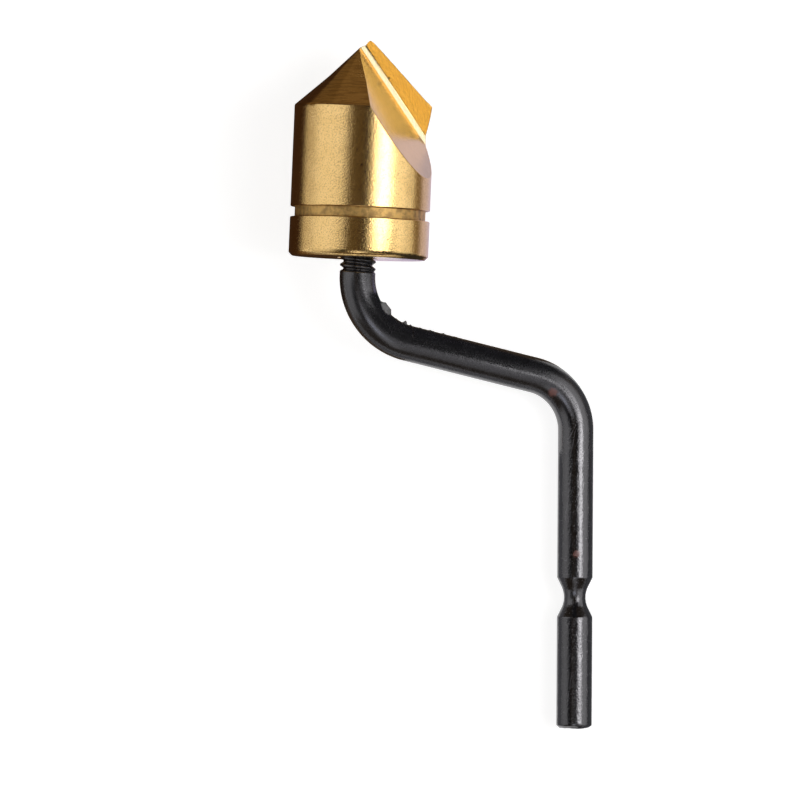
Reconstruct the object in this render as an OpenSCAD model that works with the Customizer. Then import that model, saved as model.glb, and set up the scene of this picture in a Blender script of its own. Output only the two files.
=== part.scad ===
// Single-flute countersink and deburring bit on a cranked shank.
// The head is a short steel cylinder with a 90 degree cone, cut by one V flute and relieved behind
// its cutting edge. It is screwed onto the threaded end of a bent round rod, whose other end plugs
// into a hand deburring handle and is held there at a turned neck.
//
// The tool lies on its side: the straight shank runs along Y, the head is past its +Y end and out at
// -X, and +Z points up from the surface that the shank and the head's side rest on. The origin is
// on the shank's axis, at the middle of the neck. All sizes are in millimetres and degrees.

/* [Cutting head] */
// Diameter of the head
head_d = 12.5; // [11:0.1:15]
// Full angle of the cutting cone
cone_angle = 90; // [80:1:100]
// Height of the cylinder under the cone, measured at the cutting edge
body_h = 13.8; // [12.5:0.05:18]
// How far the cone's rim sinks in one turn behind the cutting edge, which gives the edge clearance
cone_relief = 0.65; // [0.3:0.05:1]
// How far the cone sinks in one turn around its tip, where it is ground more
tip_relief = 1.3; // [0.3:0.05:1.6]
// Radius out to which the tip's relief reaches
tip_zone_r = 3.3; // [2:0.1:5]
// Chamfer around the base
base_chamfer = 0.3; // [0.1:0.05:0.6]
// Height of the turned groove's middle above the base
groove_h = 3.95; // [3:0.05:5]
// Width of the turned groove
groove_w = 0.93; // [0.5:0.01:1.5]
// Depth of the turned groove
groove_depth = 0.4; // [0.2:0.05:0.8]
// Broken edges of the turned groove
groove_break = 0.06; // [0.02:0.01:0.15]

/* [Flute] */
// Angle between the flute's root and the head's axis
flute_tilt = 38; // [35:0.5:41]
// Angle by which the root turns back, away from the cutting edge, on its way down
flute_swing = 4.4; // [0:0.1:8]
// Angle between the cutting face and the flute's floor
flute_angle = 81.5; // [75:0.5:88]
// Angle of the cutting face to a plane square to the crank
face_lean = 53; // [50:0.5:56]
// How far the root passes below the cone's apex, square to the root
root_drop = 0.9; // [0.6:0.01:1.1]
// How far the root passes behind the head's axis
root_back = 0.81; // [0.6:0.01:1]
// Radius of the root, as the grinding wheel leaves it
root_r = 0.42; // [0.2:0.01:0.5]

/* [Threaded joint] */
// Outside diameter of the thread
thread_d = 3.2; // [2.8:0.05:4]
// Pitch of the thread
thread_pitch = 0.65; // [0.5:0.05:0.8]
// Depth of the thread
thread_depth = 0.3; // [0.2:0.01:0.4]
// Length of thread inside the head
thread_engaged = 6; // [4:0.1:7]
// Length of thread that shows below the head's base
thread_shown = 1.3; // [0.8:0.05:3]
// Plain collar between the thread and the upper bend
collar_l = 0.2; // [0.2:0.05:1]
// Gap around the thread in the head's hole
thread_clearance = 0.03; // [0.01:0.01:0.1]
// Free depth of the hole past the end of the thread
hole_spare = 0.6; // [0.3:0.1:1]
// Countersink at the mouth of the hole
hole_chamfer = 0.25; // [0.1:0.05:0.4]

/* [Crank shank] */
// Diameter of the rod
shank_d = 3.2; // [2.8:0.05:4]
// Length of the straight shank, from its free end to the lower bend
shank_l = 26.9; // [22:0.1:40]
// Distance between the axes of the shank and of the rod's threaded end
crank_offset = 20.3; // [18:0.1:25]
// Slope of the crank's web to a line square to the shank
web_slope = 13.3; // [10:0.1:25]
// Centre-line radius of the bend next to the shank
lower_bend_r = 5.1; // [4:0.1:6]
// Centre-line radius of the bend next to the head
upper_bend_r = 6; // [4:0.1:7]
// How much thinner the rod's radius is in its bends, where bending stretched it
bend_thinning = 0.02; // [0.02:0.01:0.05]
// Angle by which the head's axis leans towards the shank's axis
head_lean = 2.1; // [0:0.1:4]
// Chamfer on the free end
end_chamfer = 0.3; // [0.1:0.05:0.5]

/* [Retaining neck] */
// Distance from the free end to the middle of the neck
neck_from_end = 11.85; // [8:0.05:15]
// Diameter at the bottom of the neck
neck_d = 1.96; // [1.6:0.01:2.3]
// Radius of the neck's hollow, along the shank
neck_hollow_r = 2.2; // [1.5:0.1:3]
// Slope of the neck's flanks to the shank's axis
neck_flank = 26; // [20:1:40]

/* [Bruise on the upper bend] */
// Radius of the raised spot
bruise_r = 0.6; // [0.4:0.05:0.8]
// How far it stands out of the rod
bruise_stand = 0.3; // [0.1:0.05:0.4]
// Its place along the bend, from the head's end
bruise_at = 40; // [10:1:60]
// Its turn around the rod, from the inside of the bend towards the top of the lying tool
bruise_turn = 20; // [0:5:60]

/* [Hidden] */
$fn = 96;
fit = 0.01;                     // overlap that keeps a cut clear of the face it starts from
beyond = 1;                     // distance by which the cone's cutting body passes the head
drill_half_angle = 59;          // half the angle of the drill that made the thread's hole
thread_crest = 0.12;            // half the width of the thread's crest, in pitches
thread_foot = 0.45;             // half the width of its ridge at the core, in pitches
bend_seat = 1.5;                // angle by which a bend reaches into the straight rod at each end
thread_seat = 0.1;              // length by which the thread's core reaches into the collar
relief_steps = 72;              // flats that the relieved cone is made of
root_steps = 8;                 // flats in the flute's round root
hollow_steps = 10;              // cones in the neck's hollow
thread_sides = 20;              // sides of the thread
rings_per_turn = 6;             // rings of points in one pitch of the thread

head_r = head_d / 2;
cone_rise = head_r / tan(cone_angle / 2);
apex_h = body_h + cone_rise;
hub_r = root_back / 4;
rim_r = head_r + beyond;
thread_r = thread_d / 2;
shank_r = shank_d / 2;
neck_r = neck_d / 2;

lower_turn = 90 - web_slope;
upper_turn = lower_turn + head_lean;
shank_top = shank_l - neck_from_end;
web_l = (crank_offset - lower_bend_r * (1 - cos(lower_turn))
         - upper_bend_r * (cos(head_lean) - sin(web_slope))) / cos(web_slope);

// The tool rolls about the shank until the side of its head is as low as the shank
shoulder_reach = crank_offset - (collar_l + thread_shown + body_h) * sin(head_lean);
rest_roll = asin((head_r - shank_r) / shoulder_reach);

module rest() rotate([0, rest_roll, 0]) children();

// Frames along the rod: Y follows the rod, X and Y lie in the plane of the crank
module past_lower_bend()
    translate([-lower_bend_r, shank_top, 0]) rotate([0, 0, lower_turn])
        translate([lower_bend_r, 0, 0]) children();

module past_web() past_lower_bend() translate([0, web_l, 0]) children();

module past_upper_bend()
    past_web() translate([upper_bend_r, 0, 0]) rotate([0, 0, -upper_turn])
        translate([-upper_bend_r, 0, 0]) children();

module past_collar() past_upper_bend() translate([0, collar_l, 0]) children();

module past_thread() past_collar() translate([0, thread_shown, 0]) children();

// Turned outline of the head, from its axis to its side, up to the height of the apex
function groove_edge(side) = groove_h + side * groove_w / 2;

module head_outline()
    polygon([
        [0, 0],
        [head_r - base_chamfer, 0],
        [head_r, base_chamfer],
        [head_r, groove_edge(-1) - groove_break],
        [head_r - groove_break, groove_edge(-1)],
        [head_r - groove_depth, groove_edge(-1)],
        [head_r - groove_depth, groove_edge(1)],
        [head_r - groove_break, groove_edge(1)],
        [head_r, groove_edge(1) + groove_break],
        [head_r, apex_h],
        [0, apex_h]
    ]);

// Everything above the relieved cone. Each step round the axis sinks the cone a little further. The
// one wall that this leaves, at the end of the turn, and the plain hub at the axis, lie in the flute.
module above_cone() {
    n = relief_steps;
    function turn(i) = 360 * i / n;
    function ring(r, sink) = [for (i = [0:n])
        [r * cos(turn(i)), r * sin(turn(i)), apex_h - sink * i / n - r * cone_rise / head_r]];
    lid = [for (i = [0:n - 1]) [rim_r * cos(turn(i)), rim_r * sin(turn(i)), apex_h + beyond]];
    hub_0 = 1;
    zone_0 = hub_0 + n + 1;
    rim_0 = zone_0 + n + 1;
    lid_0 = rim_0 + n + 1;
    far_relief = tip_relief + (cone_relief - tip_relief) * (rim_r - tip_zone_r) / (head_r - tip_zone_r);
    polyhedron(
        points = concat([[0, 0, apex_h]], ring(hub_r, tip_relief), ring(tip_zone_r, tip_relief),
                        ring(rim_r, far_relief), lid),
        faces = concat(
            [for (i = [0:n - 1]) [0, hub_0 + i, hub_0 + i + 1]],
            [for (band = [[hub_0, zone_0], [zone_0, rim_0]], i = [0:n - 1])
                [band[0] + i, band[1] + i, band[1] + i + 1]],
            [for (band = [[hub_0, zone_0], [zone_0, rim_0]], i = [0:n - 1])
                [band[0] + i, band[1] + i + 1, band[0] + i + 1]],
            [for (i = [0:n - 2]) [rim_0 + i + 1, rim_0 + i, lid_0 + i]],
            [for (i = [0:n - 2]) [rim_0 + i + 1, lid_0 + i, lid_0 + i + 1]],
            [for (pair = [[lid_0, rim_0], [rim_0, rim_0 + n], [rim_0 + n, rim_0 + n - 1]])
                [lid_0 + n - 1, pair[0], pair[1]]],
            [for (pair = [[rim_0, zone_0], [zone_0, hub_0], [hub_0, 0], [0, hub_0 + n],
                          [hub_0 + n, zone_0 + n]])
                [rim_0 + n, pair[0], pair[1]]],
            [[for (i = [n - 1:-1:0]) lid_0 + i]]
        )
    );
}

// Section of the flute: the two flanks open out from a round root
module flute_section() {
    open = flute_angle / 2;
    middle = -90 + face_lean - open;
    reach = head_d * 2;
    root_centre = root_r / sin(open);
    rotate(middle)
        polygon(concat(
            [for (i = [0:root_steps])
                let (a = 90 + open + (180 - flute_angle) * i / root_steps)
                    [root_centre + root_r * cos(a), root_r * sin(a)]],
            [reach * [cos(-open), sin(-open)], reach * [cos(open), sin(open)]]
        ));
}

module flute()
    translate([0, 0, apex_h]) rotate([0, -flute_tilt, 0])
        translate([-root_drop, root_back, 0]) rotate([flute_swing, 0, 0])
            linear_extrude(height = 4 * head_d, center = true) flute_section();

// Blind hole for the thread, with the cone that its drill leaves
module thread_hole() {
    hole_r = thread_r + thread_clearance;
    depth = thread_engaged + hole_spare;
    rotate_extrude()
        polygon([
            [0, -fit],
            [hole_r + hole_chamfer + fit, -fit],
            [hole_r, hole_chamfer],
            [hole_r, depth],
            [0, depth + hole_r / tan(drill_half_angle)]
        ]);
}

module cutting_head()
    color([0.78, 0.62, 0.30])
        rest() past_thread() rotate([-90, 0, 0])
            difference() {
                rotate_extrude() head_outline();
                above_cone();
                flute();
                thread_hole();
            }

// Straight shank with its chamfered end and its neck
module shank() {
    arc_y = neck_hollow_r * sin(neck_flank);
    arc_r = neck_r + neck_hollow_r * (1 - cos(neck_flank));
    edge_y = arc_y + (shank_r - arc_r) / tan(neck_flank);
    hollow = [for (i = [-hollow_steps / 2:hollow_steps / 2])
        let (a = 2 * neck_flank * i / hollow_steps)
            [neck_r + neck_hollow_r * (1 - cos(a)), neck_hollow_r * sin(a)]];
    rotate([-90, 0, 0]) rotate_extrude()
        polygon(concat(
            [[0, -neck_from_end], [shank_r - end_chamfer, -neck_from_end]],
            [[shank_r, end_chamfer - neck_from_end], [shank_r, -edge_y]],
            hollow,
            [[shank_r, edge_y], [shank_r, shank_top], [0, shank_top]]
        ));
}

// A bend about the origin, which starts on the X axis. Its ends are sunk in the straight rod.
module bend(radius, turn)
    rotate([0, 0, -bend_seat]) rotate_extrude(angle = turn + 2 * bend_seat)
        translate([radius, 0]) circle(r = shank_r - bend_thinning);

// Left-hand thread: rings of points whose radius follows the helix. It fades out at both ends, and
// its core starts inside the collar.
module thread(length) {
    rings = ceil(rings_per_turn * length / thread_pitch);
    fade = thread_pitch / 2;
    function height(j) = j < 0 ? -thread_seat : length * j / rings;
    function ridge(i, j) =
        let (phase = height(j) / thread_pitch + i / thread_sides, part = phase - floor(phase),
             ends = min(1, max(0, height(j)) / fade, (length - height(j)) / fade))
            ends * min(1, max(0, (thread_foot - abs(part - 0.5)) / (thread_foot - thread_crest)));
    function radius(i, j) = thread_r - thread_depth * (1 - ridge(i, j));
    function point(i, j) = let (a = 360 * i / thread_sides)
        [radius(i, j) * cos(a), radius(i, j) * sin(a), height(j)];
    n = thread_sides;
    last = n * (rings + 1);
    polyhedron(
        points = [for (j = [-1:rings]) for (i = [0:n - 1]) point(i, j)],
        faces = concat(
            [[for (i = [0:n - 1]) i]],
            [[for (i = [n - 1:-1:0]) last + i]],
            [for (j = [0:rings]) for (i = [0:n - 1])
                let (a = n * j + i, b = n * j + (i + 1) % n) [a, b + n, b]],
            [for (j = [0:rings]) for (i = [0:n - 1])
                let (a = n * j + i, b = n * j + (i + 1) % n) [a, a + n, b + n]]
        )
    );
}

module bruise()
    past_web() translate([upper_bend_r, 0, 0]) rotate([0, 0, bruise_at - upper_turn])
        translate([-upper_bend_r, 0, 0]) rotate([0, -bruise_turn, 0])
            translate([shank_r + bruise_stand - bruise_r, 0, 0]) sphere(r = bruise_r);

module crank_shank()
    color([0.20, 0.20, 0.21])
        rest() {
            shank();
            translate([-lower_bend_r, shank_top, 0]) bend(lower_bend_r, lower_turn);
            past_lower_bend() rotate([-90, 0, 0]) cylinder(r = shank_r, h = web_l);
            past_web() translate([upper_bend_r, 0, 0]) mirror([1, 0, 0])
                bend(upper_bend_r, upper_turn);
            past_upper_bend() rotate([-90, 0, 0]) cylinder(r = shank_r, h = collar_l);
            past_collar() rotate([-90, 0, 0]) thread(thread_shown + thread_engaged);
            bruise();
        }

cutting_head();
crank_shank();
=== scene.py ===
import math

import bpy
import numpy as np
from mathutils import Matrix, Vector, noise


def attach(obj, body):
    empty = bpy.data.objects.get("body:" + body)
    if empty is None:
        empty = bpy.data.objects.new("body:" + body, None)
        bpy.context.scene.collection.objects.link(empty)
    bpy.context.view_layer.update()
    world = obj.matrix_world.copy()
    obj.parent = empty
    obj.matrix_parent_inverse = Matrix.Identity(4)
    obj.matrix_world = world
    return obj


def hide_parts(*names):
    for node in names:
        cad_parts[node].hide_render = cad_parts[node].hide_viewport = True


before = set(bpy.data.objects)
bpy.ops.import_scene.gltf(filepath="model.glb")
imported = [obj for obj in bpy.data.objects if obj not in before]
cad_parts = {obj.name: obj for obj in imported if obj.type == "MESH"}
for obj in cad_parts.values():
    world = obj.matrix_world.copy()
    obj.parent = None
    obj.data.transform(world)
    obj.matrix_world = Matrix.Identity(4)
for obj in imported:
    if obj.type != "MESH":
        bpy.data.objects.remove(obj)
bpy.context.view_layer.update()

# Crank shank
# The real piece is one drawn steel rod of 3.2 mm, black oxide, bent twice. A neck is turned near its
# free end, and the other end has a left-hand thread that the head is screwed onto. Geometry Nodes
# sweep it along its axis; the torn skin on the web, the bruise and the uneven end are pushed into it.

MM = 0.001


class Net:
    """Adds nodes to one tree: node returns the node itself, and get one of its outputs as a Term."""

    def __init__(self, tree):
        self.tree = tree
        tree.nodes.clear()

    def node(self, kind, settings=None, inputs=None):
        made = self.tree.nodes.new(kind)
        for key, value in (settings or {}).items():
            setattr(made, key, value)
        for key, value in (inputs or {}).items():
            if isinstance(value, Term):
                self.tree.links.new(value.socket, made.inputs[key])
            else:
                made.inputs[key].default_value = value
        return made

    def get(self, kind, settings=None, inputs=None, out=0):
        return Term(self, self.node(kind, settings, inputs).outputs[out])


class Term:
    """A socket that can be calculated with: each operator adds a Math node."""

    def __init__(self, net, socket):
        self.net = net
        self.socket = socket

    def math(self, operation, *others):
        terms = dict(enumerate((self,) + others))
        return self.net.get("ShaderNodeMath", {"operation": operation}, terms)

    def __add__(self, other):
        return self.math("ADD", other)

    def __radd__(self, other):
        return self.math("ADD", other)

    def __sub__(self, other):
        return self.math("SUBTRACT", other)

    def __rsub__(self, other):
        return (self * -1) + other

    def __mul__(self, other):
        return self.math("MULTIPLY", other)

    def __rmul__(self, other):
        return self.math("MULTIPLY", other)

    def __truediv__(self, other):
        return self.math("DIVIDE", other)

    def step(self, low, high):
        """0 below low, 1 above high, smooth between them."""
        return self.net.get("ShaderNodeMapRange", {"interpolation_type": "SMOOTHSTEP"},
                            {0: self, 1: low, 2: high})

    def vector(self, operation, other, out=0):
        """Vector Math, where a number as the other term scales this vector."""
        key = 3 if operation == "SCALE" else 1
        return self.net.get("ShaderNodeVectorMath", {"operation": operation},
                            {0: self, key: other}, out)

    def mix(self, low, high):
        """A colour between low and high, with this term as the share of high."""
        return self.net.get("ShaderNodeMix", {"data_type": "RGBA"}, {0: self, 6: low, 7: high}, 2)


class Surface(Net):
    """A material with one Principled BSDF, whose texture place is the piece's own attribute."""

    def __init__(self, name, **constants):
        self.material = bpy.data.materials.new(name)
        self.material.use_nodes = True
        super().__init__(self.material.node_tree)
        self.shader = self.node("ShaderNodeBsdfPrincipled", None,
                                {key.replace("_", " "): value for key, value in constants.items()})
        out = self.node("ShaderNodeOutputMaterial")
        self.tree.links.new(self.shader.outputs[0], out.inputs[0])
        self.place = self.get("ShaderNodeAttribute", {"attribute_name": "own_place"}, None, 1)

    def feed(self, socket, term):
        self.tree.links.new(term.socket, self.shader.inputs[socket])

    def noise(self, scale, detail=3.0, stretch=(1, 1, 1), roughness=0.55):
        place = self.place.vector("MULTIPLY", stretch)
        return self.get("ShaderNodeTexNoise", None,
                        {"Vector": place, "Scale": scale, "Detail": detail, "Roughness": roughness})

    def spot(self, centre, size, stretch=(1, 1, 1)):
        """1 in the middle of a small ragged spot, 0 outside it."""
        place = self.place.vector("MULTIPLY", stretch)
        away = place.vector("DISTANCE", tuple(c * k for c, k in zip(centre, stretch)), 1)
        return 1 - (away + size * (self.noise(2.5 / size) - 0.5)).step(0.35 * size, size)

    def bump(self, height, distance):
        self.feed("Normal", self.get("ShaderNodeBump", None, {"Distance": distance, "Height": height}))


def own_place(mesh, places):
    """Keeps each vertex's place in the piece's own frame, in millimetres, for its textures."""
    layer = mesh.attributes.new("own_place", "FLOAT_VECTOR", "POINT")
    layer.data.foreach_set("vector", np.asarray(places, dtype=np.float32).ravel())


def piece(name, mesh, *materials):
    """A linked object at the origin. The faces' material numbers are set after this."""
    made = bpy.data.objects.new(name, mesh)
    bpy.context.scene.collection.objects.link(made)
    mesh.materials.clear()
    for material in materials:
        mesh.materials.append(material)
    return made


def shift(x, y, z):
    return Matrix.Translation((x, y, z))


def turn(degrees, axis):
    return Matrix.Rotation(math.radians(degrees), 4, axis)


# Sizes in millimetres and degrees, as in the CAD source
rod_r = 1.6
neck_from_end, neck_r, neck_hollow_r, neck_flank = 11.85, 0.98, 2.2, 26
shank_l, end_chamfer = 26.9, 0.3
lower_bend_r, upper_bend_r, web_slope, head_lean, crank_offset = 5.1, 6.0, 13.3, 2.1, 20.3
collar_l, thread_shown, thread_engaged, thread_pitch, thread_depth = 0.2, 1.3, 6.0, 0.65, 0.3
thread_r = 1.6
head_r, body_h = 6.25, 13.8

lower_turn = 90 - web_slope
upper_turn = lower_turn + head_lean
shank_top = shank_l - neck_from_end
web_l = (crank_offset - lower_bend_r * (1 - math.cos(math.radians(lower_turn)))
         - upper_bend_r * (math.cos(math.radians(head_lean)) - math.sin(math.radians(web_slope)))
         ) / math.cos(math.radians(web_slope))
shoulder_reach = crank_offset - (collar_l + thread_shown + body_h) * math.sin(math.radians(head_lean))
rest = turn(math.degrees(math.asin((head_r - rod_r) / shoulder_reach)), "Y")


def in_lower_bend(angle):
    """The rod's frame this far round the lower bend."""
    return shift(-lower_bend_r, shank_top, 0) @ turn(angle, "Z") @ shift(lower_bend_r, 0, 0)


past_lower_bend = in_lower_bend(lower_turn)
past_web = past_lower_bend @ shift(0, web_l, 0)


def in_upper_bend(angle):
    """The rod's frame this far round the upper bend."""
    return past_web @ shift(upper_bend_r, 0, 0) @ turn(-angle, "Z") @ shift(-upper_bend_r, 0, 0)


past_upper_bend = in_upper_bend(upper_turn)
past_collar = past_upper_bend @ shift(0, collar_l, 0)
past_thread = past_collar @ shift(0, thread_shown, 0)


def neck_radius(y):
    """The rod's radius at this distance from the middle of the neck."""
    flank = math.radians(neck_flank)
    arc_y = neck_hollow_r * math.sin(flank)
    if abs(y) < arc_y:
        return neck_r + neck_hollow_r - math.sqrt(neck_hollow_r ** 2 - y * y)
    arc_r = neck_r + neck_hollow_r * (1 - math.cos(flank))
    return min(rod_r, arc_r + (abs(y) - arc_y) * math.tan(flank))


# Stations along the rod: a frame, the length run so far, the radius and how deep the thread is there.
# They are closest where the form changes most, in the neck and the thread. The end face is a stack of
# rings with a rise too small to see, so that no two stations coincide.
stations = []
end_rings, end_rise, first_ring = 10, 0.006, 0.15
for i in range(end_rings):
    share = (i + first_ring) / end_rings
    stations.append((shift(0, -neck_from_end + end_rise * share, 0), end_rise * share,
                     (rod_r - end_chamfer) * math.sin(share * math.pi / 2), 0.0))
fine_from, fine_to = 9.2, 14.5
for first, last, spacing in ((0.02, end_chamfer, 0.04), (end_chamfer, fine_from, 0.2),
                             (fine_from, fine_to - 0.02, 0.05), (fine_to, shank_l, 0.15)):
    for y in np.arange(first, last, spacing):
        radius = min(neck_radius(y - neck_from_end), rod_r - max(0.0, end_chamfer - y))
        stations.append((shift(0, y - neck_from_end, 0), y, radius, 0.0))
lower_bend_step, upper_bend_step, web_step, collar_step = 1.2, 0.8, 0.08, 0.1
run = shank_l
for a in np.arange(0, lower_turn, lower_bend_step):
    stations.append((in_lower_bend(a), run + math.radians(a) * lower_bend_r, rod_r, 0.0))
run += math.radians(lower_turn) * lower_bend_r
for y in np.arange(0, web_l, web_step):
    stations.append((past_lower_bend @ shift(0, y, 0), run + y, rod_r, 0.0))
run += web_l
bend_start = run
for a in np.arange(0, upper_turn, upper_bend_step):
    stations.append((in_upper_bend(a), run + math.radians(a) * upper_bend_r, rod_r, 0.0))
run += math.radians(upper_turn) * upper_bend_r
thread_start = run + collar_l
for y in np.arange(0, collar_l, collar_step):
    stations.append((past_upper_bend @ shift(0, y, 0), run + y, rod_r, 0.0))
thread_l = thread_shown + thread_engaged
stations_a_turn = 14
run_in = 0.4 * thread_pitch
for y in np.arange(0, thread_l, thread_pitch / stations_a_turn):
    deep = min(1.0, y / run_in, (thread_l - y) / run_in)
    stations.append((past_collar @ shift(0, y, 0), thread_start + y, thread_r, deep))

path = bpy.data.meshes.new("rod path")
frames = [rest @ s[0] for s in stations]
path.from_pydata([f.translation * MM for f in frames], [(i, i + 1) for i in range(len(frames) - 1)], [])
for name, values in (("run_here", [s[1] for s in stations]), ("radius_here", [s[2] for s in stations]),
                     ("thread_here", [s[3] for s in stations])):
    path.attributes.new(name, "FLOAT", "POINT").data.foreach_set("value", values)
for name, column in (("side_here", 0), ("up_here", 2)):
    axes = [tuple(f.col[column].xyz) for f in frames]
    path.attributes.new(name, "FLOAT_VECTOR", "POINT").data.foreach_set("vector", np.ravel(axes))

sweep = bpy.data.node_groups.new("swept rod", "GeometryNodeTree")
sweep.is_modifier = True
sides = 96

# Crest and Foot are half the ridge's width there, as shares of the pitch. Lengths are in millimetres.
INPUTS = [("Path", "NodeSocketGeometry", None), ("Sides", "NodeSocketInt", sides),
          ("Pitch", "NodeSocketFloat", thread_pitch), ("Thread depth", "NodeSocketFloat", thread_depth),
          ("Thread start", "NodeSocketFloat", thread_start), ("Crest", "NodeSocketFloat", 0.10),
          ("Foot", "NodeSocketFloat", 0.42), ("Waviness", "NodeSocketFloat", 0.012),
          ("Material", "NodeSocketMaterial", None)]
for name, kind, default in INPUTS:
    socket = sweep.interface.new_socket(name, in_out="INPUT", socket_type=kind)
    if default is not None:
        socket.default_value = default
sweep.interface.new_socket("Rod", in_out="OUTPUT", socket_type="NodeSocketGeometry")
net = Net(sweep)
given = net.node("NodeGroupInput")
given = {name: Term(net, given.outputs[name]) for name, _, _ in INPUTS}


def named(attribute, kind="FLOAT"):
    return net.get("GeometryNodeInputNamedAttribute", {"data_type": kind}, {"Name": attribute})


curve = net.get("GeometryNodeMeshToCurve", None, {0: given["Path"]})
curve = net.get("GeometryNodeStoreNamedAttribute", {"data_type": "FLOAT_VECTOR", "domain": "POINT"},
                {"Geometry": curve, "Name": "centre", "Value": net.get("GeometryNodeInputPosition")})
ring = net.get("GeometryNodeCurvePrimitiveCircle", None, {"Resolution": given["Sides"], "Radius": MM})
rod = net.get("GeometryNodeCurveToMesh", None,
              {"Curve": curve, "Profile Curve": ring, "Fill Caps": True})
spoke = net.get("GeometryNodeInputPosition").vector("SUBTRACT", named("centre", "FLOAT_VECTOR"))
spoke = spoke.vector("NORMALIZE", (0, 0, 0))
across = spoke.vector("DOT_PRODUCT", named("side_here", "FLOAT_VECTOR"), 1)
rising = spoke.vector("DOT_PRODUCT", named("up_here", "FLOAT_VECTOR"), 1)
phase = ((named("run_here") - given["Thread start"]) / given["Pitch"]
         + (rising * -1).math("ARCTAN2", across) / (2 * math.pi))
off_crest = (phase.math("FRACT") - 0.5).math("ABSOLUTE")
ridge = (given["Foot"] - off_crest) / (given["Foot"] - given["Crest"])
ridge = ridge.math("MINIMUM", 1).math("MAXIMUM", 0)
uneven = net.get("ShaderNodeTexNoise", None,
                 {"Vector": net.get("GeometryNodeInputPosition"), "Scale": 900.0, "Detail": 4.0})
radius = (named("radius_here") - given["Thread depth"] * named("thread_here") * (1 - ridge)
          + (uneven - 0.5) * given["Waviness"])
place = spoke.vector("SCALE", radius * MM).vector("ADD", named("centre", "FLOAT_VECTOR"))
rod = net.get("GeometryNodeSetPosition", None, {"Geometry": rod, "Position": place})
rod = net.get("GeometryNodeRealizeInstances", None, {0: rod})
rod = net.get("GeometryNodeSetMaterial", None, {"Geometry": rod, "Material": given["Material"]})
net.node("NodeGroupOutput", None, {0: rod})

# Places in the black material are the rod's own: sideways of its axis, and along it from the cut end
black = Surface("black oxide", Metallic=0.0, IOR=1.95, Specular_Tint=(0.98, 0.96, 1.0, 1))
mottle = black.noise(0.9, 5.0)
grain = black.noise(6.0, 3.0)
scuff_and_glint = black.get("ShaderNodeAttribute", {"attribute_name": "scuff_and_glint"}, None, 2)
split = black.node("ShaderNodeSeparateXYZ", None, {0: black.place})
sideways, along_rod = (Term(black, split.outputs[i]) for i in range(2))
unrubbed = along_rod.step(shank_l - 2.0, shank_l + 4.5)
neck_from, neck_to, neck_fade = 10.1, 13.6, 0.5
in_neck = along_rod.step(neck_from - neck_fade, neck_from)
in_neck = in_neck * (1 - along_rod.step(neck_to, neck_to + 0.8 * neck_fade))


def scratch(first, last):
    """1 on a hairline between two places, each given by how far sideways and how far along it is."""
    slope = (last[0] - first[0]) / (last[1] - first[1])
    line = (along_rod - first[1]) * slope + first[0] + 0.12 * (black.noise(1.5) - 0.5)
    fade = 0.5
    there = along_rod.step(first[1], first[1] + fade) * (1 - along_rod.step(last[1] - fade, last[1]))
    hairline = 1 - (sideways - line).math("ABSOLUTE").step(0.02, 0.06)
    return there * hairline * black.noise(3.0).step(0.3, 0.5)


oxide_dark, oxide_light = (0.0025, 0.0025, 0.0035, 1), (0.008, 0.008, 0.010, 1)
rust, bare_steel, scuffed_steel_and_glint = (0.15, 0.045, 0.03, 1), (0.075, 0.073, 0.08, 1), (0.22, 0.22, 0.225, 1)
rusty = black.spot((-0.25, 15.8, 0), 0.45, (1, 1, 0))
rusty = rusty.math("MAXIMUM", black.spot((-0.8, 31.6, 0), 0.5, (1, 0.8, 0)))
scratched = scratch((-1.2, 25.6), (0.5, 29.6))
for first, last in (((-1.25, 18.5), (-0.75, 23.4)), ((-0.9, 24.2), (-0.4, 27.2)),
                    ((-1.0, 2.2), (-0.6, 5.4))):
    scratched = scratched.math("MAXIMUM", scratch(first, last))
flecks = black.noise(5.5, 3.0).step(0.58, 0.70) * (0.75 - 0.5 * unrubbed)
oxide = rusty.mix(mottle.step(0.3, 0.75).mix(oxide_dark, oxide_light), rust)
oxide = (0.7 * scratched).math("MAXIMUM", flecks).mix(oxide, bare_steel)
# Light grey where the bruise's top is scuffed, and on the slivers' tips as a painted glint
black.feed("Base Color", scuff_and_glint.mix(oxide, scuffed_steel_and_glint))
polish = 0.03 + 0.07 * mottle + 0.05 * grain
black.feed("Roughness", polish + 0.18 * unrubbed + 0.08 * in_neck + 0.25 * rusty)
drawn = black.noise(2.2, 3.0, (1.0, 0.5, 1.0))
black.bump((grain + 1.5 * drawn) * (1.2 - 0.8 * unrubbed) + 0.5 * mottle, 0.014 * MM)

swept = bpy.data.objects.new("swept", path)
bpy.context.scene.collection.objects.link(swept)
modifier = swept.modifiers.new("sweep", "NODES")
modifier.node_group = sweep
ids = {item.name: item.identifier for item in sweep.interface.items_tree if item.in_out == "INPUT"}
modifier[ids["Sides"]] = sides
modifier[ids["Material"]] = black.material
rod_mesh = bpy.data.meshes.new_from_object(swept.evaluated_get(bpy.context.evaluated_depsgraph_get()))
bpy.data.objects.remove(swept)


def read(mesh, name, width=1):
    """The vertices' positions, or one of their attributes, as an array."""
    values = np.zeros(len(mesh.vertices) * width, dtype=np.float32)
    if name == "position":
        mesh.vertices.foreach_get("co", values)
    else:
        mesh.attributes[name].data.foreach_get("vector" if width == 3 else "value", values)
    return values.reshape(-1, width) if width > 1 else values


def fuzz(places, scale, seed=0.0):
    """Smooth noise from -1 to 1 at each place, given in millimetres."""
    return np.array([noise.noise(Vector(p) * scale + Vector((seed, seed, seed))) for p in places])


points = read(rod_mesh, "position", 3) / MM
centres = read(rod_mesh, "centre", 3) / MM
run_here = read(rod_mesh, "run_here")
side = read(rod_mesh, "side_here", 3)
up = read(rod_mesh, "up_here", 3)
spokes = points - centres
spokes /= np.maximum(np.linalg.norm(spokes, axis=1), 1e-6)[:, None]
outward = (spokes * side).sum(1)
upward = (spokes * up).sum(1)

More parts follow.
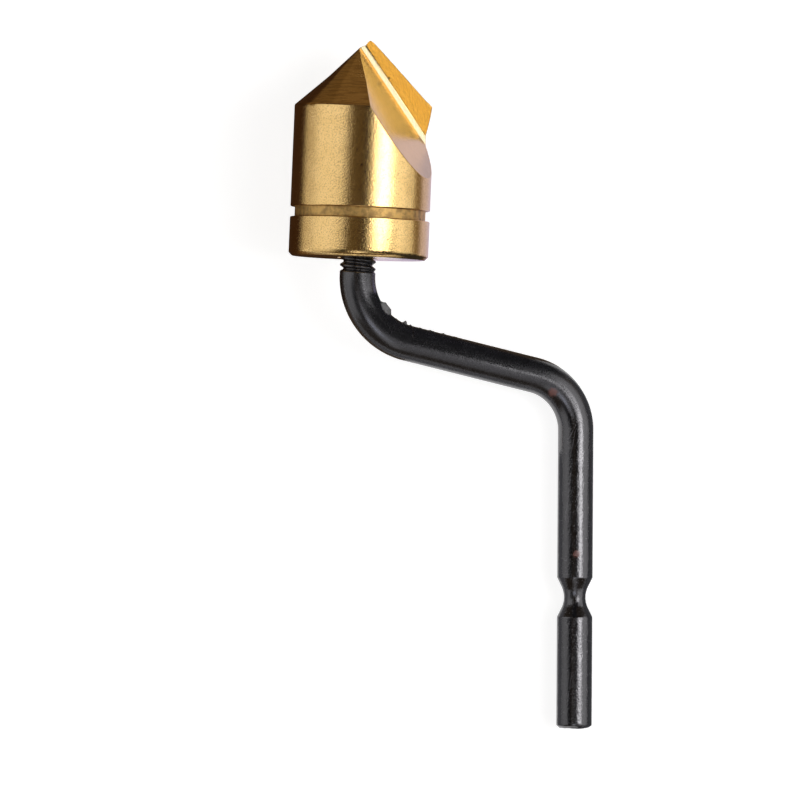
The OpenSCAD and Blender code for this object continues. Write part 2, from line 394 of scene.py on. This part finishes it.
# Torn skin along the web's far edge, up to the bruise: eaten away, with slivers that stand off.
# torn_at runs from 0 where the tear starts to 1 at the end of the web, and outward is 1 on that edge.
torn_l, torn_end, fade_in, fade_out = 9.6, 1.33, 1.5, 5
torn_at = (run_here - (bend_start - torn_l)) / torn_l
in_torn = np.clip(np.minimum(torn_at * fade_in, (torn_end - torn_at) * fade_out), 0, 1)
edge_at, edge_width, eaten_from = 0.99, 0.10, 0.5
edge = np.clip(1 - np.abs(outward - edge_at) / edge_width, 0, 1) * (outward > 0)
eaten = np.clip((outward - eaten_from) / (1 - eaten_from), 0, 1) ** 2 * in_torn

# Slivers grow towards the bruise, a slow noise thins them out, and a fast one roughens the edge
torn_place = np.stack([run_here, 3 * upward, 0 * upward], 1)
slivers = np.maximum(0, fuzz(torn_place, 1.7, 9.0) - 0.08) * (0.10 + 0.75 * torn_at)
slivers = slivers * np.clip(0.5 + 1.4 * fuzz(0.5 * torn_place, 1.0, 2.0), 0.1, 1.3)
slivers += 0.13 * fuzz(torn_place, 4.5, 5.0)
push = edge * in_torn * slivers - eaten * (0.10 + 0.06 * fuzz(points, 1.3, 4.0))

# The bruise: a lug on the inside of the upper bend, with a flat, oval, scuffed top
bruise_at, bruise_turn, bruise_face, bruise_stand = 40, 26, 72, 0.13
bruise_frame = rest @ in_upper_bend(upper_turn - bruise_at)
on_rod = bruise_frame @ turn(-bruise_turn, "Y") @ Vector((rod_r, 0, 0))
face = bruise_frame @ turn(-bruise_face, "Y")
facing, along_lug, across_lug = (np.array(face.col[k].xyz[:]) for k in (0, 1, 2))
top = np.array(on_rod[:]) + facing * bruise_stand
reach = ((top - centres) @ facing) / np.maximum(spokes @ facing, 0.2)
on_plane = centres + spokes * reach[:, None] - top
lug_length, lug_width = 0.66, 0.50
oval = np.hypot(on_plane @ along_lug / lug_length, on_plane @ across_lug / lug_width)
near = (np.linalg.norm(points - top, axis=1) < 1.3) * (spokes @ facing > 0.2)
lug_foot, lug_flank, tallest = 1.28, 0.28, 0.6
lug = np.clip((lug_foot - oval) / lug_flank, 0, 1) * near
push = np.maximum(push, lug * np.clip(reach - rod_r, 0, tallest))
scuff_and_glint_fade = 0.2
scuff_and_glint_share = np.clip((1.05 - oval) / scuff_and_glint_fade, 0, 1) * near
# The slivers' tips are coloured light as well: a painted glint
scuff_and_glint_share += np.clip(edge * in_torn * slivers / scuff_and_glint_fade, 0, 1)

# The cut end is uneven, and this fades out along the rod
cut_fade = 0.35
cut = np.clip(1 - run_here / cut_fade, 0, 1)
push += cut * fuzz(points, 1.6, 3.0) * 0.05
points = points + spokes * push[:, None]
points[:, 1] += cut * (0.07 * fuzz(points, 1.2, 7.0) + 0.03 * fuzz(points, 3.5, 8.0) + 0.06)

rod_mesh.vertices.foreach_set("co", (points * MM).ravel())
own_place(rod_mesh, np.stack([outward * rod_r, run_here, upward * rod_r], 1))
rod_mesh.attributes.new("scuff_and_glint", "FLOAT", "POINT").data.foreach_set("value", scuff_and_glint_share.astype(np.float32))
rod_mesh.shade_smooth()
shank = piece("crank_shank_rod", rod_mesh, black.material)
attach(shank, "root")
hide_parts("crank_shank")

# Cutting head
# The real piece is a turned and ground plug of high-speed steel with a thin gold coating. A blind
# tapped hole takes the shank's thread. One V flute, ground across the cone, leaves a single cutting
# edge, and the cone sinks behind that edge all round. Every edge keeps a fine break.

cone_angle, cone_relief, tip_relief, tip_zone_r = 90, 0.65, 1.3, 3.3
base_chamfer, groove_h, groove_w, groove_depth, groove_break = 0.3, 3.95, 0.93, 0.4, 0.06
flute_tilt, flute_swing, flute_angle, face_lean = 38, 4.4, 81.5, 53
root_drop, root_back = 0.9, 0.81
hole_r, hole_depth, hole_chamfer, drill_half_angle = 1.63, 6.6, 0.25, 59
cone_rise = head_r / math.tan(math.radians(cone_angle / 2))
apex_h = body_h + cone_rise
head_place = rest @ past_thread @ turn(-90, "X")


def steps(a, b, n):
    """n points from a, evenly spaced, that stop short of b."""
    return [tuple(a[k] + (b[k] - a[k]) * i / n for k in range(len(a))) for i in range(n)]


# The turned outline from the bottom of the hole to the rim: each corner, and the steps to the next
groove_low, groove_high = groove_h - groove_w / 2, groove_h + groove_w / 2
deep_r = head_r - groove_depth
soft, groove_round = 0.04, 0.05
soft_mid, break_in, break_up = soft * 0.7, 0.3 * groove_break, 0.4 * groove_break
corners = [
    ((hole_r, hole_depth), 14), ((hole_r, hole_chamfer), 2), ((hole_r + hole_chamfer, 0), 10),
    ((head_r - base_chamfer - soft, 0), 1), ((head_r - base_chamfer + soft_mid, soft_mid), 2),
    ((head_r - soft_mid, base_chamfer - soft_mid), 1), ((head_r, base_chamfer + soft), 12),
    ((head_r, groove_low - groove_break), 1), ((head_r - break_in, groove_low - break_up), 1),
    ((head_r - groove_break, groove_low), 3), ((deep_r + groove_round, groove_low), 1),
    ((deep_r, groove_low + groove_round), 6), ((deep_r, groove_high - groove_round), 1),
    ((deep_r + groove_round, groove_high), 3), ((head_r - groove_break, groove_high), 1),
    ((head_r - break_in, groove_high + break_up), 1), ((head_r, groove_high + groove_break), 1)]
outline = []
for (start, count), (stop, _) in zip(corners, corners[1:]):
    outline += steps(start, stop, count)

# The cone sinks behind the cutting edge with the angle, so each ray of the turned mesh has its own
# profile, and the step after the last one is cut away by the flute
side_steps, cone_steps, turns = 46, 56, 360
rim_break = 0.05
lathe_points = [(0, 0, hole_depth + hole_r / math.tan(math.radians(drill_half_angle)))]
for i in range(turns):
    share, a = i / turns, 2 * math.pi * i / turns
    rim_z = body_h - cone_relief * share
    profile = outline + steps(corners[-1][0], (head_r, rim_z - rim_break), side_steps)
    profile += [(head_r, rim_z - rim_break), (head_r - 0.25 * rim_break, rim_z - 0.15 * rim_break)]
    for k in range(cone_steps):
        r = (head_r - rim_break) * (1 - k / cone_steps)
        if r > tip_zone_r:
            sink = tip_relief + (cone_relief - tip_relief) * (r - tip_zone_r) / (head_r - tip_zone_r)
        else:
            sink = tip_relief
        profile.append((r, apex_h - r * cone_rise / head_r - sink * share))
    lathe_points += [(r * math.cos(a), r * math.sin(a), z) for r, z in profile]
lathe_points.append((0, 0, apex_h))
rows = len(profile)
tip = len(lathe_points) - 1


def at(i, k):
    """The vertex at step k of ray i."""
    return 1 + (i % turns) * rows + k


lathe_faces = []
for i in range(turns):
    lathe_faces.append((0, at(i, 0), at(i + 1, 0)))
    for k in range(rows - 1):
        lathe_faces.append((at(i, k), at(i, k + 1), at(i + 1, k + 1), at(i + 1, k)))
    lathe_faces.append((at(i, rows - 1), tip, at(i + 1, rows - 1)))

# The grinding wheel's section: two straight sides, and between them a narrow flat with round corners
half_open = flute_angle / 2
middle = -90 + face_lean - half_open
far = head_r * 4
root_flat, flat_lean, root_round = 0.54, -4, 0.07
ways, runs = [], []
for sign in (1, -1):
    opening = math.radians(flute_angle)
    other = math.radians(90 - half_open - sign * flat_lean)
    runs.append(root_flat * math.sin(math.pi - opening - other) / math.sin(opening))
    ways.append(Vector((math.cos(math.radians(half_open)), sign * math.sin(math.radians(half_open)), 0)))
rake_way, floor_way = ways
rake_run, floor_run = runs
across = (floor_way * floor_run - rake_way * rake_run).normalized()
section = [rake_way * far, rake_way * (rake_run + 2 * root_round)]
round_steps = 4
for corner, before, after in ((rake_way * rake_run, -rake_way, across),
                              (floor_way * floor_run, across, floor_way)):
    for i in range(round_steps + 1):
        t = i / round_steps
        section.append((1 - t) ** 2 * (corner - before * root_round) + 2 * t * (1 - t) * corner
                       + t ** 2 * (corner + after * root_round))
section += [floor_way * (floor_run + 2 * root_round), floor_way * far]
section = [turn(middle, "Z") @ p for p in section]
flute_place = shift(0, 0, apex_h) @ turn(-flute_tilt, "Y") @ shift(-root_drop, root_back, 0) \
    @ turn(flute_swing, "X")
n = len(section)
cutter_points = [flute_place @ (p + Vector((0, 0, z))) for z in (-far, far) for p in section]
cutter_faces = [tuple(range(n))[::-1], tuple(range(n, 2 * n))]
cutter_faces += [(i, (i + 1) % n, n + (i + 1) % n, n + i) for i in range(n)]

# Each face of the wheel leaves its material's number on what it cuts; 0 is the turned surface
RAKE, FLOOR, ROOT = 1, 2, 3
root_from, floor_from = round_steps, 2 * round_steps + 1
cutter_zones = [RAKE, RAKE]
cutter_zones += [RAKE if i < root_from else ROOT if i < floor_from else FLOOR for i in range(n)]


def raw(name, points, faces, zones):
    """An object for the boolean, with a material number for each face."""
    mesh = bpy.data.meshes.new(name)
    mesh.from_pydata(points, [], faces)
    for _ in (0, RAKE, FLOOR, ROOT):
        mesh.materials.append(None)
    mesh.polygons.foreach_set("material_index", zones)
    mesh.update()
    made = bpy.data.objects.new(name, mesh)
    bpy.context.scene.collection.objects.link(made)
    return made


lathe = raw("turned head", lathe_points, lathe_faces, [0] * len(lathe_faces))
cutter = raw("grinding wheel", cutter_points, cutter_faces, cutter_zones)
cut_mod = lathe.modifiers.new("flute", "BOOLEAN")
cut_mod.operation, cut_mod.solver, cut_mod.object = "DIFFERENCE", "EXACT", cutter
cut_mesh = bpy.data.meshes.new_from_object(lathe.evaluated_get(bpy.context.evaluated_depsgraph_get()))
bpy.data.objects.remove(lathe)
bpy.data.objects.remove(cutter)

# The flute's edge is opened, both sides draw back, and a rounded strip joins them
verts = [np.array(v.co) for v in cut_mesh.vertices]
faces = [(tuple(p.vertices), p.material_index, np.array(p.normal)) for p in cut_mesh.polygons]
sides_of = {}
for vertices, zone, normal in faces:
    for a, b in zip(vertices, vertices[1:] + vertices[:1]):
        sides_of.setdefault((min(a, b), max(a, b)), []).append((int(zone > 0), (a, b), normal))
seam, normals = [], {}
for pair in sides_of.values():
    if len(pair) == 2 and pair[0][0] != pair[1][0]:
        seam.append(next(way for ground_off, way, _ in pair if not ground_off))
        for ground_off, way, normal in pair:
            for v in way:
                normals.setdefault(v, [np.zeros(3), np.zeros(3)])[ground_off] += normal
edge_break, round_share, uneven_share, uneven_scale = 0.045, 0.30, 0.5, 2.3
twin, ridge_of = {}, {}
for v, pair in normals.items():
    n0, n1 = (m / np.linalg.norm(m) for m in pair)
    size = edge_break * (1 + uneven_share * noise.noise(Vector(verts[v]) * uneven_scale))
    out0, out1 = n1 - n1.dot(n0) * n0, n0 - n0.dot(n1) * n1
    out0, out1 = (-o / max(np.linalg.norm(o), 0.2) * size for o in (out0, out1))
    p = verts[v]
    twin[v], ridge_of[v] = len(verts), len(verts) + 1
    verts += [p + out1, p + (out0 + out1) * round_share]
    verts[v] = p + out0
head_faces = [tuple(twin.get(v, v) for v in f) if zone else f for f, zone, _ in faces]
zones = [zone for _, zone, _ in faces]
for a, b in seam:
    head_faces += [(b, a, ridge_of[a], ridge_of[b]), (ridge_of[b], ridge_of[a], twin[a], twin[b])]
    zones += [0, 0]
own = np.array(verts)

head_mesh = bpy.data.meshes.new("cutting head")
head_mesh.from_pydata([(head_place @ Vector(p)) * MM for p in own], [], head_faces)
own_place(head_mesh, own)

# The flute's large faces, from this area in square metres, are shaded flat as ground planes are
flat_from, crease_angle = 0.4e-6, 24
smooth = [not zone or polygon.area < flat_from for zone, polygon in zip(zones, head_mesh.polygons)]
head_mesh.set_sharp_from_angle(angle=math.radians(crease_angle))
head_mesh.polygons.foreach_set("use_smooth", smooth)

# Places in the gold material are the head's own: z up from the base, the axis at x = y = 0
gold = Surface("gold coating, turned", Metallic=1.0)
parts = gold.node("ShaderNodeSeparateXYZ", None, {0: gold.place})
own_x, own_y, own_z = (Term(gold, parts.outputs[i]) for i in range(3))
own_r = (own_x * own_x + own_y * own_y).math("SQRT")
in_groove = own_z.step(groove_low - 0.03, groove_low)
in_groove = in_groove * (1 - own_z.step(groove_high, groove_high + 0.03))
in_groove = in_groove * (1 - own_r.step(deep_r + 0.1, head_r - 0.1))
speckle = gold.noise(7.0, 3.0, roughness=0.6)
on_cone = own_z.step(body_h - 0.7, body_h - 0.3)
cloud = gold.noise(0.7, 3.0)
rings = gold.noise(7.0, 2.0, (0.10, 0.10, 1.0))
gold_deep, gold_pale, speck_brown = (0.84, 0.56, 0.22, 1), (0.90, 0.61, 0.255, 1), (0.46, 0.28, 0.10, 1)
groove_shade_dark, groove_shade_light, dent_shade_brown = (0.42, 0.26, 0.10, 1), (0.72, 0.46, 0.16, 1), (0.05, 0.03, 0.015, 1)
satin = cloud.step(0.3, 0.7).mix(gold_deep, gold_pale)
specks = gold.noise(7.5, 3.0).step(0.50, 0.64)
dark_share = 0.45 * specks * (1 - 0.6 * on_cone) + 0.5 * on_cone * rings.step(0.42, 0.62)
satin = dark_share.mix(satin, speck_brown)
# Painted shade: the groove's recess is coloured darker and browner than the turned gold, with a mottle
groove_shade = gold.noise(1.8, 4.0).step(0.35, 0.65).mix(groove_shade_dark, groove_shade_light)
satin = in_groove.mix(satin, groove_shade)
# Dark brown spots where small dents are: painted shade, as the dents are not in the mesh
dent_shades = gold.spot((4.7, -3.5, 3.62), 0.14)
for centre, size in (((-5.6, -2.75, 9.3), 0.1), ((-5.65, -2.6, 8.7), 0.09), ((-1.45, -6.08, 8.1), 0.12),
                     ((-1.1, -6.15, 7.5), 0.1), ((-0.95, -6.17, 6.9), 0.12), ((-1.9, -5.95, 9.4), 0.09),
                     ((-1.6, -6.04, 5.9), 0.08), ((-2.6, -5.68, 2.4), 0.1), ((1.2, -6.13, 1.6), 0.09)):
    dent_shades = dent_shades.math("MAXIMUM", gold.spot(centre, size))
gold.feed("Base Color", (0.85 * dent_shades).mix(satin, dent_shade_brown))
gold.feed("Roughness", 0.08 + 0.14 * speckle + 0.34 * in_groove)
gold.bump((speckle + 0.15 * rings + 0.2 * gold.noise(2.5, 2.0)) * (1 - 0.85 * on_cone), 0.017 * MM)

no_pit = (9, 9, 9)


def ground(name, dark, light, polish, pit=no_pit):
    """A face of the flute, with the grinding wheel's streaks along it and perhaps the painted shade of
    one small pit, which is not cut. Its colours, given by the caller, hold painted shade on the cutting
    face and floor and a painted highlight on the root.
    """
    made = Surface(name, Metallic=1.0)
    streaks = made.noise(6.0, 2.0, (1.0, 1.0, 0.08))
    coating = (0.6 * streaks + 0.4 * made.noise(0.9)).step(0.3, 0.7).mix(dark, light)
    # A small pit's dark look is painted: painted shade, no hollow is cut
    pit_size, pit_shade_brown = 0.15, (0.06, 0.04, 0.02, 1)
    made.feed("Base Color", made.spot(pit, pit_size).mix(coating, pit_shade_brown))
    made.feed("Roughness", polish + 0.12 * streaks)
    made.bump(streaks + 0.4 * made.noise(4.0), 0.008 * MM)
    return made.material


# The cutting face and the flute's floor carry the same coating as the turned gold, coloured darker:
# painted shade
rake_pit = (2.34, 0.82, 16.3)
rake_painted_shade = ground("gold coating, cutting face, painted shade", (0.50, 0.34, 0.10, 1), (0.57, 0.39, 0.12, 1), 0.10, rake_pit)
flank = ground("gold coating, flute's floor, painted shade", (0.60, 0.43, 0.20, 1), (0.67, 0.48, 0.23, 1), 0.12)
# Painted highlight: the root strip is coloured pale cream for the bright reflection along it
root = ground("gold coating, flute's root, painted highlight", (0.92, 0.76, 0.47, 1), (0.96, 0.82, 0.54, 1), 0.20)

head = piece("cutting_head_ground", head_mesh, gold.material, rake_painted_shade, flank, root)
head_mesh.polygons.foreach_set("material_index", zones)
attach(head, "root")
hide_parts("cutting_head")

# Table, light tent and cards
# A white table top that keeps a soft shadow, under a half-round tent that the camera doesn't see. The
# tent is soft at the left, has a bright strip to the right of the camera and is open above the object.
# Cards, most of them flat on the table, are there for the metal's reflections alone.

floor_z = -rod_r
card_lift = 0.1
tent_x, tent_r = -22.0, 400.0


def stage_piece(name, points, faces, material, seen_by="all"):
    """A piece of the stage for the camera and all else, for the object only, or for reflections."""
    mesh = bpy.data.meshes.new(name)
    mesh.from_pydata([tuple(c * MM for c in p) for p in points], [], faces)
    made = piece(name, mesh, material)
    made.visible_camera = seen_by == "all"
    if seen_by == "reflections":
        made.visible_diffuse = made.visible_shadow = False
        made.visible_transmission = made.visible_volume_scatter = False


def flat(name, x, y, z, material, seen_by="all"):
    stage_piece(name, [(x[0], y[0], z), (x[1], y[0], z), (x[1], y[1], z), (x[0], y[1], z)],
                [(0, 1, 2, 3)], material, seen_by)


def new_net(name):
    material = bpy.data.materials.new(name)
    material.use_nodes = True
    return material, Net(material.node_tree)


# What the camera and reflections see of the table is nearly white, and the rest is plain
table, net = new_net("white table")
light_path = net.node("ShaderNodeLightPath")
seen = Term(net, light_path.outputs["Is Camera Ray"])
for other in ("Is Glossy Ray", "Is Transmission Ray"):
    seen = seen.math("MAXIMUM", Term(net, light_path.outputs[other]))
plain = net.get("ShaderNodeBsdfDiffuse", None, {"Color": (0.8, 0.8, 0.8, 1)})
shadowed = net.get("ShaderNodeBsdfDiffuse", None, {"Color": (0.45, 0.45, 0.45, 1)})
lit = net.get("ShaderNodeEmission", None, {"Color": (1, 1, 1, 1), "Strength": 0.83})
white = net.get("ShaderNodeAddShader", None, {0: shadowed, 1: lit})
both = net.get("ShaderNodeMixShader", None, {0: seen, 1: plain, 2: white})
net.node("ShaderNodeOutputMaterial", None, {0: both})
table_half = 700
flat("table_top", (-table_half, table_half), (-table_half, table_half), floor_z, table)

# The tent's light by the angle from straight up, to the right, and by the place along the object.
# at_shank is 1 beside the shank and 0 beside the head, and there the strip is brighter.
cloth, net = new_net("tent cloth")
place = net.node("ShaderNodeSeparateXYZ", None, {0: net.get("ShaderNodeTexCoord", None, None, 3)})
angle = (Term(net, place.outputs[0]) - tent_x * MM).math("ARCTAN2", Term(net, place.outputs[2]))
angle = angle * (180 / math.pi)
leftward = angle * -1
along = Term(net, place.outputs[1])
at_shank = 1 - along.step(10 * MM, 40 * MM)
left = leftward.step(15 + 15 * at_shank, 31 + 23 * at_shank) * (1 - 0.3 * leftward.step(68, 91))
left = left * (0.97 - 0.22 * at_shank)
strip_strength, extra_at_shank, right_strength = 5.0, 2.5, 1.2
strip_from, extra_from, strip_full, extra_full, strip_fade, strip_to = 13, 30, 35, 37, 39, 55
strip_ends = (0.15 + 0.85 * along.step(-45 * MM, -28 * MM)) * (1 - along.step(90 * MM, 130 * MM))
strip = strip_strength * angle.step(strip_from, strip_full)
strip = strip + extra_at_shank * at_shank * angle.step(extra_from, extra_full)
strip = strip * (1 - angle.step(strip_fade, strip_to)) * strip_ends
right = right_strength * angle.step(36, 52) * (1 - 0.6 * angle.step(70, 98))
cloth_light = net.get("ShaderNodeEmission", None,
                      {"Color": (1, 1, 1, 1), "Strength": left + strip + right})
net.node("ShaderNodeOutputMaterial", None, {0: cloth_light})
tent_y = (-260, 260)
arc_steps, gap_from, gap_to = 24, -20, 6
for name, first, last in (("tent_left", -90, gap_from), ("tent_right", gap_to, 90)):
    arc = [math.radians(first + (last - first) * i / arc_steps) for i in range(arc_steps + 1)]
    stage_piece(name,
                [(tent_x + tent_r * math.sin(a), y, tent_r * math.cos(a)) for y in tent_y for a in arc],
                [(i, i + 1, arc_steps + 2 + i, arc_steps + 1 + i) for i in range(arc_steps)],
                cloth, "the object")

front, net = new_net("front cloth")
front_light = net.get("ShaderNodeEmission", None, {"Color": (1, 1, 1, 1), "Strength": 0.8})
net.node("ShaderNodeOutputMaterial", None, {0: front_light})
flat("tent_front", (-120, 60), (-620, -50), 385, front, "the object")


def flag(name, colour, *points):
    """A card that only reflections see, on the table unless its points give their height."""
    material, net = new_net(name)
    glow = net.get("ShaderNodeEmission", None, {"Color": colour + (1,), "Strength": 1.0})
    net.node("ShaderNodeOutputMaterial", None, {0: glow})
    points = [(*point, floor_z + card_lift)[:3] for point in points]
    stage_piece(name, points, [tuple(range(len(points)))], material, "reflections")


flag("flag_left_of_head", (0.04, 0.02, 0.01), (-54, 24), (-21, 24), (-21, 53.5), (-54, 53.5))
flag("flag_far_left", (0.60, 0.58, 0.54), (-200, 24), (-54, 24), (-54, 53.5), (-200, 53.5))
flag("flag_beside_head", (0.63, 0.59, 0.83), (-21, 29), (1, 29), (1, 41.5), (-21, 41.5))
flag("flag_below_flute", (0.87, 0.75, 0.90), (-21, 41.5), (1, 41.5), (1, 53.5), (-21, 53.5))
flag("flag_far_right", (0.22, 0.17, 0.11), (1, 27.5), (60, 27.5), (60, 53.5), (1, 53.5))
flag("flag_right_of_shank", (0.18, 0.18, 0.19), (1.5, -40), (60, -40), (60, 27), (1.5, 27))
flag("flag_left_of_shank", (0.30, 0.30, 0.32), (-70, -40), (-3.4, -40), (-3.4, 13), (-70, 13))
flag("flag_below_head_left", (0.14, 0.09, 0.05), (-60, 14), (-16, 14), (-16, 24), (-60, 24))
flag("flag_below_head_right", (0.14, 0.09, 0.05), (-16, 20), (-1, 20), (-1, 29), (-16, 29))
flag("flag_past_tip_left", (0.13, 0.085, 0.04), (-22, 53.5), (-250, 500), (-600, 500), (-600, 53.5))
flag("flag_past_tip", (0.17, 0.115, 0.06), (-22, 53.5), (500, 53.5), (500, 500), (-250, 500))
flag("card_for_flute_floor", (2.75, 2.95, 3.5),
     (-75, -125, 380), (-5, -125, 380), (-5, -215, 380), (-75, -215, 380))
flag("card_for_web", (0.55, 0.54, 0.56),
     (90, -45, 330), (180, -45, 330), (180, -500, 330), (90, -500, 330))
flag("card_over_web", (0.02, 0.02, 0.02), (-10, 30.4, 34), (24, 30.4, 34), (24, 18.5, 34), (8, 18, 34),
     (4, 15.5, 34), (-1, 16, 34), (-10, 18, 34))
flag("card_below_head", (0.03, 0.03, 0.03), (-17, 27.6, -1), (8, 27.6, -1), (8, 27.6, 34),
     (-14, 27.6, 34), (-14, 27.6, 8), (-17, 27.6, 8))

# The room is white for the camera alone, and dim and warm for the metal
world = bpy.data.worlds.new("room")
bpy.context.scene.world = world
world.use_nodes = True
net = Net(world.node_tree)
for_camera = Term(net, net.node("ShaderNodeLightPath").outputs["Is Camera Ray"])
dim = net.get("ShaderNodeBackground", None, {"Color": (0.085, 0.062, 0.038, 1)})
bright = net.get("ShaderNodeBackground", None, {"Color": (1, 1, 1, 1)})
both = net.get("ShaderNodeMixShader", None, {0: for_camera, 1: dim, 2: bright})
net.node("ShaderNodeOutputWorld", None, {0: both})

# The camera looks straight down, turned a little about its own axis as in the photo
camera_x, camera_y, camera_z, camera_turn = -15.86, 17.69, 566, 0.34
camera_data = bpy.data.cameras.new("camera")
camera_data.lens, camera_data.sensor_width = 282.4, 36
camera_data.clip_start, camera_data.clip_end = 0.01, 5
camera = bpy.data.objects.new("camera", camera_data)
bpy.context.scene.collection.objects.link(camera)
camera.matrix_world = shift(camera_x * MM, camera_y * MM, camera_z * MM) @ turn(camera_turn, "Z")
bpy.context.scene.camera = camera
bpy.context.scene.view_settings.view_transform = "Standard"
